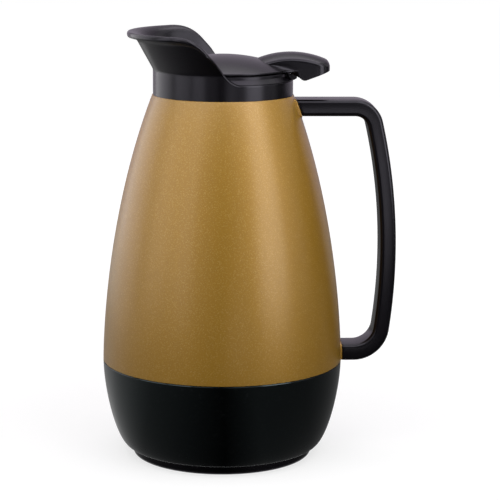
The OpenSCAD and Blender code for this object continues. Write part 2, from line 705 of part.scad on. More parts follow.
// Outside of the lever from the side: over the dome, round the hinge and along to the tip
lever_side = concat([[lever_start, dome_z], [lid_r - rim_flat, lid_z]],
    [for (a = [90:-15:0]) [lever_reach - arch_x - arch_r * sin(a), rim_z + arch_r * (1 - cos(a))]],
    [[lever_reach - 2, tip_z - chamfer], [lever_reach, tip_z], [lever_reach, crest_z - tip_drop]],
    [for (i = [0, 1]) [lever_reach - tip_round[i][0], crest_z - tip_round[i][1]]],
    [[lever_reach - tip_round[2], crest_z + cut], [lever_start, crest_z + cut]]);

module lever_outside() {
    intersection() {
        hump(0);
        lever_plan(0);
        side_plate(lever_side, 2 * lever_w);
    }
}

// Hollow of the lever between x0 and x1, above z0
module lever_hollow(x0, x1, z0) {
    intersection() {
        hump(lid_wall);
        lever_plan(lid_wall);
        side_plate([[x0, z0], [x1, z0], [x1, crest_z - tip_drop],
            [x1 - lid_wall, crest_z - tip_drop + lid_wall], [x0, crest_z]], 2 * lever_w);
    }
}

knuckle_play = 0.5;                          // gap between the lid's knuckle and each hinge post
knuckle_w = 2 * (post_y[0] - knuckle_play);
rib_t = 2.4;                                 // rib that carries the knuckle
pin_grip = 0.015;                            // the pin sits tight in the knuckle

module lid_cover() {
    color([0.08, 0.08, 0.085]) difference() {
        union() {
            difference() {
                union() {
                    dome(dome_r, lid_r, lid_z);
                    lever_outside();
                }
                difference() {
                    dome(dome_r - lid_wall, rim_in, lid_z - cut);
                    translate([rim_in - rim_flat, -lever_w, lid_z]) cube([lid_r, 2 * lever_w, tall]);
                }
                lever_hollow(ring_r, lever_reach - lid_wall, rim_z);
            }
            intersection() {
                union() {
                    bar_y(hinge_x, hinge_z, eye_r, knuckle_w);
                    translate([hinge_x - rib_t / 2, -knuckle_w / 2, hinge_z])
                        cube([rib_t, knuckle_w, crest_z - hinge_z]);
                }
                union() {
                    hump(lid_wall / 2);
                    bar_y(hinge_x, hinge_z, eye_r, knuckle_w);
                }
            }
        }
        bar_y(hinge_x, hinge_z, pin_r + pin_grip, lever_w - 4 * lid_wall);
    }
}

base_r = rim_in - slip;
base_dip = 1.4;                              // how far the lid base dips into the stopper's ring
base_low = ring_top - base_dip;
base_edge = 1.6;                             // wall of its upright edge

// Plate that closes the hollow dome from below and dips into the stopper's ring
module lid_base() {
    inner_dome = dome_r - lid_wall;
    top_z = dome_centre + sqrt(pow(inner_dome, 2) - pow(base_r, 2)) - hairline;
    step_r = min(base_r, ring_in - 2 * slip);
    color([0.1, 0.1, 0.1]) difference() {
        rotate_extrude() polygon([[0, base_low], [step_r - chamfer, base_low],
            [step_r, base_low + chamfer], [step_r, lid_z], [base_r, lid_z], [base_r, top_z],
            [base_r - base_edge, top_z], [base_r - base_edge, base_low + lid_wall],
            [0, base_low + lid_wall]]);
        translate([rim_in - rim_flat - slip, -lever_w, base_low - cut]) cube([lid_r, 2 * lever_w, tall]);
    }
}

nose_play = 2.1;                             // the plug's nose swings clear of the hole
nose_r = valve_r - nose_play;
nose_h = 3.4;                                // how far the nose stands below the seal
nose_taper = [2.4, 2.2];                     // its cone: inwards and upwards
plug_over = 2.6;                             // the plug's flange reaches this far past the hole
plug_flange_r = valve_r + plug_over;
plug_flange_t = 1.6;
plug_seal_t = 1.7;
plug_gap = 0.2;                              // air between seal and seat when the lid is shut
plug_z = floor_z + valve_seat_h + plug_gap;  // underside of the plug's seal
stem_r = [nose_r - 3, nose_r - 4];           // the plug's stem, at the flange and at the lid base

module lid_plug() {
    flange_z = plug_z + plug_seal_t;
    color([0.12, 0.12, 0.12]) rotate_extrude() polygon([[0, plug_z - nose_h],
        [nose_r - nose_taper[0], plug_z - nose_h], [nose_r, plug_z - nose_h + nose_taper[1]],
        [nose_r, flange_z], [plug_flange_r, flange_z], [plug_flange_r, flange_z + plug_flange_t],
        [stem_r[0], flange_z + plug_flange_t], [stem_r[1], base_low], [0, base_low]]);
}

module plug_seal() {
    color([0.6, 0.58, 0.55]) ring(nose_r + slip, plug_flange_r - slip, plug_z, plug_z + plug_seal_t);
}

module hinge_pin() {
    pin_end = 0.4;
    color([0.75, 0.75, 0.77]) bar_y(hinge_x, hinge_z, pin_r, 2 * (post_y[1] + pin_end));
}

outer_shell();
base_cup();
base_cap();
base_seal();
flask_cushion();
flask_outer();
flask_inner();
flask_spacers();
neck_gasket();
spout_head();
handle();
handle_screws();
pour_stopper();
stopper_seal();
lid_cover();
lid_base();
lid_plug();
plug_seal();
hinge_pin();
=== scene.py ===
# %% [markdown]
# # A vacuum carafe, from frame to photograph
# The measured model is loaded first and stays as it is: every solid, joint and clearance is
# settled there. What follows gives the pieces that show a smoother skin than the frame's
# triangles have, gives every piece its finish, and sets up a small studio. The carafe's
# lengths are in millimetres, as on a drawing. The mesh helper turns them into metres.

# %% Load the frame
import json
import bmesh
import bpy
import numpy as np
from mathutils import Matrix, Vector


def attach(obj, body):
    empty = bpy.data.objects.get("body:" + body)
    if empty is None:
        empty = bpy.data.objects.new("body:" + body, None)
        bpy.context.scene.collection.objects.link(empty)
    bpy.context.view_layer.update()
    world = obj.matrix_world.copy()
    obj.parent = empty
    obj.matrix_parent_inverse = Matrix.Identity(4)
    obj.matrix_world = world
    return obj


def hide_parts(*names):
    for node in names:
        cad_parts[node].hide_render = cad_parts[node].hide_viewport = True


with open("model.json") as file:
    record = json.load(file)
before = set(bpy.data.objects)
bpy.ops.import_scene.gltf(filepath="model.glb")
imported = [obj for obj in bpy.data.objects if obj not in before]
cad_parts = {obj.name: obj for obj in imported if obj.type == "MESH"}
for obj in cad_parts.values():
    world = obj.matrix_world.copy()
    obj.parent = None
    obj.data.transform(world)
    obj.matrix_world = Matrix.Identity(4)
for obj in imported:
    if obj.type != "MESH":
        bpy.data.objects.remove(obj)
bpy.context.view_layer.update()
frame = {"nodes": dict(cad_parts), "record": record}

# %% [markdown]
# ## The camera
# The photograph looks at the carafe from a little above its rim, square to the plane of
# spout and handle but for two and a half degrees. It was taken with a long lens, which
# keeps the body's sides calm. The camera's place comes from the rings of the body: how far
# each ellipse opens tells how far below the eye it lies.

# %% Camera
def aim(obj, place, towards, roll=0.0):
    """Puts an object at a place in millimetres, with its -Z axis pointing at a second one,
    and then turns it about that axis by the roll in degrees."""
    obj.location = Vector(place) * 0.001
    obj.rotation_euler = (Vector(towards) - Vector(place)).to_track_quat("-Z", "Y").to_euler()
    obj.rotation_euler.rotate_axis("Z", np.radians(roll))


eye = np.array([-33.66, -1143.2, 341.7])
sight = np.array([0.0428, 0.9811, -0.1890])
lens = bpy.data.cameras.new("photo_lens")
lens.lens, lens.sensor_width = 142.3, 36.0
camera = bpy.data.objects.new("photo_camera", lens)
bpy.context.scene.collection.objects.link(camera)
bpy.context.scene.camera = camera
aim(camera, eye, eye + 1000 * sight, roll=0.33)
eye_far = float(np.linalg.norm(eye - [0, 0, 125]))
print("camera stands", round(eye_far, 1), "mm from the body's middle")

# %% [markdown]
# ## From grids of points to meshes
# Nearly every skin here is a grid: one direction runs along a profile, the other round an
# axis or along a path. numpy works the whole grid out at once, and one helper turns any
# number of grids into one mesh. Points that fall together, at a pole or where a profile
# closes on itself, are merged, so the skin has no slits, and its faces are turned outwards.

# %% Mesh helpers
def quads_of(rows, cols, wrap, first):
    """Corner numbers of the quads between neighbouring rows and columns of a grid, where a
    point's number is its row times the number of columns, plus its column. With wrap, the
    last column is joined to the first."""
    r = np.arange(rows - 1)[:, None]
    c = np.arange(cols if wrap else cols - 1)[None, :]
    n = (c + 1) % cols
    corners = np.stack([r * cols + c, r * cols + n, (r + 1) * cols + n, (r + 1) * cols + c], -1)
    return corners.reshape(-1, 4) + first


def make_piece(name, grids, body, nodes, crease=38.0, worn=None):
    """One object from grids in millimetres, each closed round its columns. It rides on a
    body, stands for the frame's nodes, and carries a value from 0 to 1 for each point that
    says how much the spot is rubbed."""
    points = np.concatenate([grid.reshape(-1, 3) for grid in grids]) * 0.001
    firsts = np.cumsum([0] + [grid.shape[0] * grid.shape[1] for grid in grids])
    quads = np.concatenate([quads_of(*grid.shape[:2], True, first)
                            for grid, first in zip(grids, firsts)])
    mesh = bpy.data.meshes.new(name)
    mesh.vertices.add(len(points))
    mesh.vertices.foreach_set("co", points.ravel())
    mesh.loops.add(quads.size)
    mesh.loops.foreach_set("vertex_index", quads.ravel())
    mesh.polygons.add(len(quads))
    mesh.polygons.foreach_set("loop_start", np.arange(0, quads.size, 4))
    mesh.update(calc_edges=True)
    rubbed = mesh.attributes.new("rubbed", "FLOAT", "POINT")
    values = np.zeros(len(points)) if worn is None else np.concatenate([w.ravel() for w in worn])
    rubbed.data.foreach_set("value", values)
    bm = bmesh.new()
    bm.from_mesh(mesh)
    bmesh.ops.remove_doubles(bm, verts=bm.verts, dist=2e-6)
    bmesh.ops.recalc_face_normals(bm, faces=bm.faces)
    bm.to_mesh(mesh)
    bm.free()
    mesh.shade_smooth()
    mesh.set_sharp_from_angle(angle=np.radians(crease))
    obj = bpy.data.objects.new(name, mesh)
    bpy.context.scene.collection.objects.link(obj)
    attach(obj, body)
    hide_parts(*nodes)
    print(name, "has", len(mesh.polygons), "faces")
    return obj


print("3 by 4 points make", len(quads_of(3, 4, False, 0)), "quads, closed round",
      len(quads_of(3, 4, True, 0)))

# %% [markdown]
# ## Curves
# The body's outline is two long cubic curves, one for the shell and one for the cup, that
# meet upright at the seam. A profile is drawn as such curves and straight lines, its sharp
# corners are eased by a short curve, as every moulding has them, and then it is turned
# round the body's axis.

# %% Curve helpers
def cubic_at(t, p0, p1, p2, p3):
    """Points on a cubic curve, at shares t of its way: it leaves p0 towards p1 and reaches
    p3 from p2. The points' weights are the four terms of (1 - t) plus t, cubed."""
    return (1 - t) ** 3 * p0 + 3 * (1 - t) ** 2 * t * p1 + 3 * (1 - t) * t ** 2 * p2 + t ** 3 * p3


def cubic(p0, p1, p2, p3, n):
    """n points on such a curve, from its start to its end."""
    return cubic_at(np.linspace(0, 1, n)[:, None], *[np.asarray(p) for p in (p0, p1, p2, p3)])


def unit(vectors):
    """The same directions with a length of 1: each vector over its own length."""
    return vectors / np.linalg.norm(vectors, axis=-1, keepdims=True)


def eased(points, cuts, steps=5):
    """A line of points whose corners are drawn round: each corner turns into a curve that
    starts and ends its cut before and after it, with the corner as control point."""
    corner = np.asarray(points, float)
    back, ahead = np.roll(corner, 1, 0) - corner, np.roll(corner, -1, 0) - corner
    back_far = np.linalg.norm(back, axis=1) + 1e-9
    ahead_far = np.linalg.norm(ahead, axis=1) + 1e-9
    cuts = np.broadcast_to(np.asarray(cuts, float), len(corner)).copy()
    cuts[[0, -1]] = 0
    cuts = np.minimum(cuts, 0.49 * np.minimum(back_far, ahead_far))
    before = corner + back * (cuts / back_far)[:, None]
    after = corner + ahead * (cuts / ahead_far)[:, None]
    t = np.linspace(0, 1, steps)[None, :, None]
    before, corner, after = before[:, None], corner[:, None], after[:, None]
    return ((1 - t) ** 2 * before + 2 * (1 - t) * t * corner + t ** 2 * after).reshape(-1, 2)


def inset(line, d):
    """A profile moved by d to the left of its own direction, which is that direction after
    a quarter turn, and kept off the axis."""
    run = unit(np.gradient(line, axis=0))
    moved = line + d * np.stack([-run[:, 1], run[:, 0]], 1)
    return np.stack([np.maximum(moved[:, 0], 0), moved[:, 1]], 1)


def spun(r, z, turn):
    """Points at a radius and a height, turned about the body's axis: x is the radius times
    the cosine of the turn, y the radius times its sine."""
    return np.stack([r * np.cos(turn), r * np.sin(turn), z + 0 * turn], -1)


def turned(profile, around=256):
    """A profile of radius and height, turned all the way round."""
    return spun(profile[:, :1], profile[:, 1:], np.linspace(0, 2 * np.pi, around, endpoint=False))


def smooth(low, high, x):
    """0 below low, 1 above high, with an even S in between: three times the square of the
    share of the way, less twice its cube."""
    t = np.clip((x - low) / (high - low), 0, 1)
    return t * t * (3 - 2 * t)


print("the S at a quarter and at half of its way:", smooth(0, 4, 1), smooth(0, 4, 2))

# %% [markdown]
# ## The body's outline
# Shell and cup share one outline. It is widest at the seam, draws in to the neck in one
# long curve above it, and rounds in to the foot below it. On the real carafe both are
# injection moulded, with a wall of about two and a half millimetres.

# %% Body sizes
seam_z, mouth_z, foot_z = 57.0, 213.7, 5.4
body_r, mouth_r, foot_r = 70.5, 41.05, 55.2
wall = 2.4
shell_line = cubic((body_r, seam_z), (body_r, seam_z + 1.2), (70.31, 137.7), (mouth_r, mouth_z), 96)
cup_line = cubic((foot_r, foot_z), (foot_r + 7.5, foot_z), (body_r, 38.2), (body_r, seam_z), 64)


def shell_r(z):
    """Radius of the shell's outside at a height, read off its line."""
    return np.interp(z, shell_line[:, 1], shell_line[:, 0])


print("neck is", 2 * mouth_r, "mm wide, belly", 2 * body_r, "mm")

# %% [markdown]
# ## The pads under the handle
# Two pads stand out of the shell where the handle butts. Each is a rounded block whose end
# face is cut parallel to the shell beside it, so that the strap's ends are cut the same
# way. A rounded rectangle is carried outwards from inside the wall and closed over the face.

# %% Rounded blocks
pad_edge, pad_depth, pad_stands_out = 1.0, 4.0, 0.2


def rounded_rectangle(w, t, r, n=6):
    """Points round a rectangle, w by t, as (across, up). Each corner is a quarter circle of
    radius r, whose centre lies that far in from both sides."""
    turn = (np.arange(4)[:, None] + np.linspace(0, 1, n)[None, :]) * np.pi / 2
    corner_x = np.array([1, -1, -1, 1])[:, None] * (w / 2 - r)
    corner_y = np.array([1, 1, -1, -1])[:, None] * (t / 2 - r)
    return np.stack([corner_x + r * np.cos(turn), corner_y + r * np.sin(turn)], -1).reshape(-1, 2)


def pad_face(bar_z, z):
    """x of the plane in which a bar's end lies, parallel to the shell beside the bar: the
    shell's radius there, plus the slant times the height over the bar's middle."""
    slant = (shell_r(bar_z + 2) - shell_r(bar_z)) / 2
    return shell_r(bar_z) + pad_stands_out + (z - bar_z) * slant


def block_on_shell(bar_z, low, high, width):
    """A rounded block from inside the shell out to its slanted face: the outline is
    carried along x, drawn in on a quarter circle near the face, then closed over it."""
    ease = np.linspace(0, np.pi / 2, 5)
    inward = np.concatenate([[0.0], pad_edge * 0.5 * (1 - np.cos(ease)), np.linspace(1.0, 4.9, 4)])
    back = np.concatenate([[pad_depth], pad_edge * 0.5 * (1 - np.sin(ease)), np.zeros(4)])
    rings = np.stack([rounded_rectangle(width - 2 * d, high - low - 2 * d, max(pad_edge - d, 0.05))
                      for d in inward])
    rings[-1, :, 1] = 0
    z = rings[..., 1] + (low + high) / 2
    return np.stack([pad_face(bar_z, z) - back[:, None], rings[..., 0], z], -1)


print("a pad stands out of the shell by", pad_stands_out, "mm at its middle")

# %% [markdown]
# ## The shell
# The gold shell is a profile turned round the axis, with its wall's thickness, so that the
# neck and the seam show real edges. Its lower edge turns in a little at the seam.

# %% Shell
bar_top_z, bar_low_z = mouth_z - 7.15, seam_z + 4.35
bar_t, handle_w, pad_w, pad_half = 9.7, 20.0, 21.0, 5.35
neck_hole_r, edge_in = mouth_r - 2.55, 0.45
shell_foot = [(body_r - edge_in, seam_z), (body_r - 0.1, seam_z + 0.12), (body_r, seam_z + 0.5)]
shell_profile = np.concatenate([
    shell_foot, shell_line[1:-1], [(mouth_r, mouth_z), (neck_hole_r, mouth_z)],
    inset(shell_line, wall)[::-1][2:-1], [(body_r - wall, seam_z), (body_r - edge_in, seam_z)]])
shell_cuts = np.zeros(len(shell_profile))
mouth_at = len(shell_foot) + len(shell_line) - 2
shell_cuts[[mouth_at, mouth_at + 1]] = 0.45
shell_grids = [turned(eased(shell_profile, shell_cuts)),
               block_on_shell(bar_top_z, bar_top_z - pad_half, bar_top_z + pad_half, pad_w),
               block_on_shell(bar_low_z, seam_z + 0.05, bar_low_z + pad_half, pad_w)]
shell = make_piece("shell", shell_grids, "carafe", ["outer_shell"])

# %% [markdown]
# ## The cup
# The lower part is a separate black moulding, polished in its mould. At the seam it is set
# back in a narrow groove, which draws the fine dark line between cup and shell. Its floor
# is open in the middle, where the flask goes in. The cap that closes it, and on whose ring
# the carafe stands, is left as the frame has it.

# %% Cup
hole_r, ring_r, floor_r = 47.3, 50.3, 58.5
floor_z, ring_z = 8.6, 14.4
groove_deep, groove_high = 0.6, 0.42
cup_edge = [(body_r, seam_z - groove_high - 0.13), (body_r - 0.06, seam_z - groove_high - 0.04),
            (body_r - groove_deep, seam_z - groove_high), (body_r - groove_deep, seam_z),
            (body_r - wall, seam_z)]
cup_floor = [(floor_r, floor_z), (ring_r, floor_z), (ring_r, ring_z), (hole_r, ring_z),
             (hole_r, foot_z)]
cup_inside = inset(cup_line, wall)[::-1][1:-14]
cup_profile = np.concatenate([[(hole_r, foot_z)], cup_line[:-1], cup_edge, cup_inside, cup_floor])
cup = make_piece("cup", [turned(cup_profile)], "carafe", ["base_cup"])

# %% [markdown]
# ## The spout head
# Collar, funnel and lip are one moulding, whose lower part stands in the shell's neck. Its
# rim is level over the spout, then sweeps down to the collar on the handle side, and the
# lip's turned-out edge dies away as the rim falls. So every section through the axis
# differs, and the head is a grid of sections: for each turn about the axis, the wall goes
# up the collar, out along the funnel and over the lip as far as the rim's height there,
# round the edge, and back down the inside.

# %% Rim
collar_r, head_wall = 40.65, 2.4
crease_z, crease_ease, lean = 228.5, 0.9, 0.552
rim_z, lip_top, lip_reach = 222.8, 250.23, 55.5
sweep = cubic((-30.2, lip_top), (-5.8, lip_top), (-4.2, rim_z), (9.3, rim_z), 200)


def outer_r(z):
    """Radius of the head's outside: the collar's, plus the lean times the height over the
    crease. The crease itself is drawn as a short parabola."""
    up = z - crease_z
    eased_up = np.where(up < -crease_ease, 0, (up + crease_ease) ** 2 / (4 * crease_ease))
    return collar_r + lean * np.where(up > crease_ease, up, eased_up)


def rim_height(turn):
    """Height of the rim at each turn: the sweep is drawn in side view, so a height belongs
    to the turn whose cosine is x over the radius there."""
    at = np.arccos(np.clip(sweep[:, 0] / outer_r(sweep[:, 1]), -1, 1))
    return np.interp(np.abs(turn), at[::-1], sweep[::-1, 1])


turn = np.linspace(-np.pi, np.pi, 360, endpoint=False)
height = rim_height(turn)
print("rim runs from", round(height.min(), 1), "to", round(height.max(), 1), "mm")

# %% [markdown]
# ## The lip seen from above
# Round its tip the lip is an arc about the body's axis. From there its edge runs in to the
# funnel in one curve. What it stands out over the funnel, as a share of the most, says at
# each turn how far the wall has to bend over.

# %% Lip's plan
tip = np.radians(np.arange(0, 52, 2))
tip_arc = lip_reach * np.stack([-np.cos(tip), np.sin(tip)], 1)
side_curve = cubic((-34.17, 43.73), (-26.29, 49.89), (-18.0, 50.1), (-10.0, 47.6), 30)
edge_plan = np.concatenate([tip_arc, side_curve, [(-4.6, 43.4)]])
reach_at = np.hypot(edge_plan[:, 0], edge_plan[:, 1])
bearing = np.arctan2(edge_plan[:, 1], edge_plan[:, 0])
reach = np.interp(np.abs(turn), bearing[::-1], reach_at[::-1])
flare = np.clip((reach - outer_r(height)) / (lip_reach - outer_r(lip_top)), 0, 1)
flare = np.where(np.abs(turn) < bearing.min(), 0, flare)
print("lip stands out", round(lip_reach - float(outer_r(lip_top)), 1), "mm over the funnel")

# %% [markdown]
# ## The head's sections
# Each section is a line of radius and height, and all of them are worked out at once: up
# the collar, past the crease, along the funnel, and then a curve that leaves in the wall's
# direction and arrives more level the more the lip flares. The edge is rounded, and squarer
# on the handle side, where the stopper's flange lies on it.

# %% Sections of the head
def head_sections(turn, height, flare):
    """Outside, edge and inside of the wall for every turn. The inside lies a wall's
    thickness away, square to the outside. The wall thickens towards a flared edge."""
    # edge is the wall's thickness there, nose how far its rounding stands out, top where
    # the outside ends and bend_z where it starts to bend.
    edge = head_wall - 0.2 * smooth(224, 232, height) + 1.1 * flare
    nose = edge * (0.5 - 0.2 * flare)
    top = height - edge * (0.52 + 0.48 * flare)
    bend_z = top - (0.4 + 2.2 * flare)
    crease_low, crease_high = crease_z - crease_ease, crease_z + crease_ease
    funnel_z = np.minimum(crease_high, bend_z)
    z = np.concatenate([
        np.minimum(np.linspace(mouth_z, crease_low, 8)[:, None], bend_z),
        np.minimum(np.linspace(crease_low, crease_high, 7)[1:, None], bend_z),
        funnel_z + (bend_z - funnel_z) * np.linspace(0, 1, 22)[1:, None]])
    slope = (outer_r(z + 0.05) - outer_r(z - 0.05)) / 0.1
    below_bend = np.stack([outer_r(z), z], -1)
    going = unit(np.stack([slope, 1 + 0 * slope], -1))

    start, leaving = below_bend[-1], going[-1]
    end = np.stack([outer_r(top) + flare * (lip_reach - nose - outer_r(top)), top], -1)
    arriving = unit((1 - flare[:, None]) * leaving + flare[:, None] * np.array([1.0, 0.0]))
    length = np.linalg.norm(end - start, axis=1)[:, None]
    after_start = start + leaving * length * 0.30
    before_end = end - arriving * length * 0.40
    t = np.linspace(0, 1, 14)[1:, None, None]
    bend = cubic_at(t, start, after_start, before_end, end)
    bend_going = unit(3 * (1 - t) ** 2 * (after_start - start)
                      + 6 * (1 - t) * t * (before_end - after_start) + 3 * t ** 2 * (end - before_end))
    outside = np.concatenate([below_bend, bend])
    going = np.concatenate([going, bend_going])
    normal = np.stack([going[..., 1], -going[..., 0]], -1)

    near_edge = smooth(0.55, 1.0, np.linspace(0, 1, len(outside)))[:, None, None]
    inside = outside - normal * (head_wall + (edge[:, None] - head_wall) * near_edge)
    over = np.linspace(0, np.pi, 11)[1:-1, None, None]
    squareness = np.where(np.abs(turn) < np.radians(76), 0.45, 1.0)[:, None]
    across = np.sign(np.cos(over)) * np.abs(np.cos(over)) ** squareness
    up = np.abs(np.sin(over)) ** squareness
    middle = (outside[-1] + inside[-1]) / 2
    cap = middle + edge[:, None] / 2 * across * normal[-1] + nose[:, None] * up * going[-1]
    return outside, cap, inside[::-1]


outside, cap, inside = head_sections(turn, height, flare)
throat_r, bore_r, opening_r, spigot_r = 38.25, 35.0, 25.4, 38.35
ledge_z, seat_z, spigot_z = 217.0, 205.6, 202.6
inside = np.where(inside[..., 1:] < ledge_z, np.array([throat_r, ledge_z]), inside)
below = eased([(throat_r, ledge_z), (bore_r, ledge_z), (bore_r, seat_z), (opening_r, seat_z),
               (opening_r, spigot_z), (spigot_r, spigot_z), (spigot_r, mouth_z),
               (collar_r, mouth_z)], 0.3)
lower = np.broadcast_to(below[:, None, :], (len(below), len(turn), 2))
section = np.concatenate([outside, cap, inside, lower])
rub = np.zeros(section.shape[:2])
rub[len(outside) - 1:len(outside) + len(cap) + 1] = 1.0
head = make_piece("spout_head_skin", [spun(section[..., 0], section[..., 1], turn)], "carafe",
                  ["spout_head"], crease=42, worn=[rub])

# %% [markdown]
# ## The handle
# A strap of even width is bent along one line: a level bar, a tight bend, the long bow of
# the grip, a wider bend, and a level bar back. Its section is a rectangle with rounded
# edges, a little thinner in the grip than in the bars. It is carried along the line, always
# square to it, and at both ends it is cut to the slant of the shell's pads. Each bend
# touches the bow inside, so their centres lie as far apart as their radii differ. The grip
# is rubbed most in its middle and along its edges.

# %% Handle's middle line
bow_r, top_r, low_r = 332.0, 12.0, 16.5
bow_x, bow_z = body_r + 26.49 - bow_r, bar_low_z + 60
grip_t, strap_edge = 9.3, 2.4
top_z, low_z = bar_top_z - top_r, bar_low_z + low_r
top_x = bow_x + np.sqrt((bow_r - top_r) ** 2 - (top_z - bow_z) ** 2)
low_x = bow_x + np.sqrt((bow_r - low_r) ** 2 - (low_z - bow_z) ** 2)
turn_top = np.arctan2(top_x - bow_x, top_z - bow_z)
turn_low = np.arctan2(low_x - bow_x, low_z - bow_z)


def arc(x, z, r, first, last, n):
    """Stations on an arc: the centre plus the radius times the turn's sine in x and cosine
    in z, and with it the turn, which is how far the line points down from level."""
    turned_by = np.linspace(first, last, n)
    return np.stack([x + r * np.sin(turned_by), z + r * np.cos(turned_by), turned_by], 1)


strap_line = np.concatenate([arc(top_x, top_z, top_r, 0, turn_top, 18),
                             arc(bow_x, bow_z, bow_r, turn_top, turn_low, 60)[1:-1],
                             arc(low_x, low_z, low_r, turn_low, np.pi, 22)])
print("grip bows out to x =", round(float(strap_line[:, 0].max()) + grip_t / 2, 1))


# %% Handle
def strap(line):
    """The strap's rings: a rounded rectangle at every station, square to the line. Its
    thickness passes from the bars' to the grip's with the square of the turn's cosine."""
    x, z, down = line.T[..., None]
    thick = grip_t + (bar_t - grip_t) * np.cos(line[:, 2]) ** 2
    rings = np.stack([rounded_rectangle(handle_w, t, strap_edge, 7) for t in thick])
    return np.stack([x + rings[..., 1] * np.sin(down), rings[..., 0],
                     z + rings[..., 1] * np.cos(down)], -1)


def strap_end(bar_z, side, steps_back):
    """Rings that bring a bar to its pad's slanted plane, draw it in and close it."""
    ease = np.linspace(0, np.pi / 2, 4)
    inward = np.concatenate([np.zeros(len(steps_back)), 0.5 * (1 - np.cos(ease)), [2.0, 4.7]])
    back = np.concatenate([steps_back, 0.5 * (1 - np.sin(ease)), [0.0, 0.0]])
    rings = np.stack([rounded_rectangle(handle_w - 2 * d, bar_t - 2 * d, max(strap_edge - d, 0.04), 7)
                      for d in inward])
    rings[-1, :, 1] = 0
    z = bar_z + side * rings[..., 1]
    return np.stack([pad_face(bar_z, z) + back[:, None], rings[..., 0], z], -1)


handle_grid = np.concatenate([strap_end(bar_top_z, 1, np.array([20.0, 12.0, 5.0, 2.0]))[::-1],
                              strap(strap_line), strap_end(bar_low_z, -1, np.array([5.0, 2.0]))])
out_to_corner = np.abs(rounded_rectangle(1, 1, 0.25, 7)).sum(1)
corner_rub = np.clip(1.6 * (1 - 4 * np.abs(out_to_corner - 0.85)), 0, 1)
grip_rub = smooth(0.3, 1.0, np.sin(np.linspace(0, np.pi, len(handle_grid))))
handle = make_piece("handle_strap", [handle_grid], "carafe", ["handle"],
                    worn=[grip_rub[:, None] * (0.35 + 0.65 * corner_rub[None, :])])

# %% [markdown]
# ## The lid
# The lid is a shallow dome with a short upright edge, and the thumb lever grows out of it
# in one moulding: a crowned tongue that arches over the hinge and reaches past the collar.
# The dome is a part of a sphere, turned with its wall's thickness. The lever's top is a
# circle across the lid, turned about an axis that lies far below it.

# %% Lid sizes
lid_r, lid_hole_r, lid_z = 38.0, 33.0, 228.0
edge_h, rise, lid_wall = 1.0, 7.8, 2.4
dome_radius = (lid_r ** 2 + rise ** 2) / (2 * rise)
dome_centre = lid_z + edge_h + rise - dome_radius
lever_half, lever_reach, lever_crown, tip_corner = 13.5, 61.5, 3.4, 8.0
hump_x, hump_r, crest_z = 39.3, 52.0, lid_z + 10.4
crown_r = (lever_half ** 2 + lever_crown ** 2) / (2 * lever_crown)
print("dome radius", round(dome_radius, 1), "mm, crown", round(dome_centre + dome_radius, 1), "mm")


def dome_height(x, y):
    """Height of the dome over a point: the sphere's centre, plus the root of its radius
    squared less the distance from the axis squared."""
    return dome_centre + np.sqrt(np.maximum(dome_radius ** 2 - x ** 2 - y ** 2, 0))


def hump_height(x, y):
    """Height of the lever's top: a circle across the lid gives the ridge's radius about an
    axis under the lever, and a circle of that radius along x gives the height."""
    ridge = hump_r - crown_r + np.sqrt(crown_r ** 2 - np.minimum(np.abs(y), crown_r - 1) ** 2)
    return crest_z - hump_r + np.sqrt(np.maximum(ridge ** 2 - (x - hump_x) ** 2, 0))


# %% Dome
def dome_arc(radius, first, last, n):
    """Points along a circle about the sphere's centre, as radius from the axis and height."""
    a = np.linspace(first, last, n)
    return np.stack([radius * np.sin(a), dome_centre + radius * np.cos(a)], 1)


inner_radius = dome_radius - lid_wall
dome_top = dome_arc(dome_radius, 0, np.arcsin(lid_r / dome_radius), 60)
dome_under = dome_arc(inner_radius, np.arcsin(lid_hole_r / inner_radius), 0, 30)
dome_profile = np.concatenate([dome_top, [(lid_r, lid_z), (lid_hole_r, lid_z)], dome_under])
dome_cuts = np.zeros(len(dome_profile))
dome_cuts[[len(dome_top) - 1, len(dome_top)]] = (0.4, 0.3)
dome = turned(eased(dome_profile, dome_cuts))
print("dome falls to", round(float(dome_height(lid_r, 0)), 2), "mm at its edge")

# %% [markdown]
# ## The lever, ring by ring
# The lever is built from rings of its outline seen from above, each drawn in by another
# distance. They run from the middle of the crowned top outwards and over the eased edge,
# down the side wall, and back in under the roof of the hollow.

# %% Lever's top
def lever_outline(inward, near):
    """Outline of the lever from above, drawn in by a distance: two straight sides, a tip
    with round corners, and a straight near end that stands inside the dome."""
    half, tip_x = lever_half - inward, lever_reach - np.minimum(inward, tip_corner)
    r = np.maximum(np.minimum(tip_corner - inward, half), 0.02)
    side = near + (tip_x - r - near) * np.linspace(0, 1, 40)
    across = (half - r) * np.linspace(-1, 1, 16)[1:-1]
    turn = np.linspace(0, np.pi / 2, 24)
    x = np.concatenate([side, tip_x - r + r * np.sin(turn), tip_x + 0 * across,
                        tip_x - r + r * np.cos(turn), side[::-1]])
    y = np.concatenate([-half + 0 * side, -half + r - r * np.cos(turn), across,
                        half - r + r * np.sin(turn), half + 0 * side])
    return np.stack([x, y], -1)


def edge_drop(inward, x):
    """How far the eased edge falls below the hump: a quarter of an ellipse, as wide and as
    deep as the edge's easing, small along the sides and deep at the tip."""
    width = 1.5 + 1.0 * smooth(55, 62, x)
    depth = 1.0 + 1.1 * smooth(55.5, 62, x)
    t = np.clip(1 - inward / width, 0, 1)
    return depth * (1 - np.sqrt(1 - t ** 2))


near_x = 15.0
edge_inward = 1.5 * (1 - np.sin(np.linspace(0, np.pi / 2, 9)))
inwards = np.concatenate([np.linspace(lever_half - 0.02, 1.6, 14), edge_inward])
plans = np.stack([lever_outline(d, near_x) for d in inwards])
tops = hump_height(plans[..., 0], plans[..., 1]) - edge_drop(inwards[:, None], plans[..., 0])
top_rings = np.concatenate([plans, tops[..., None]], -1)
print("lever crest", round(float(tops.max()), 2), "mm")

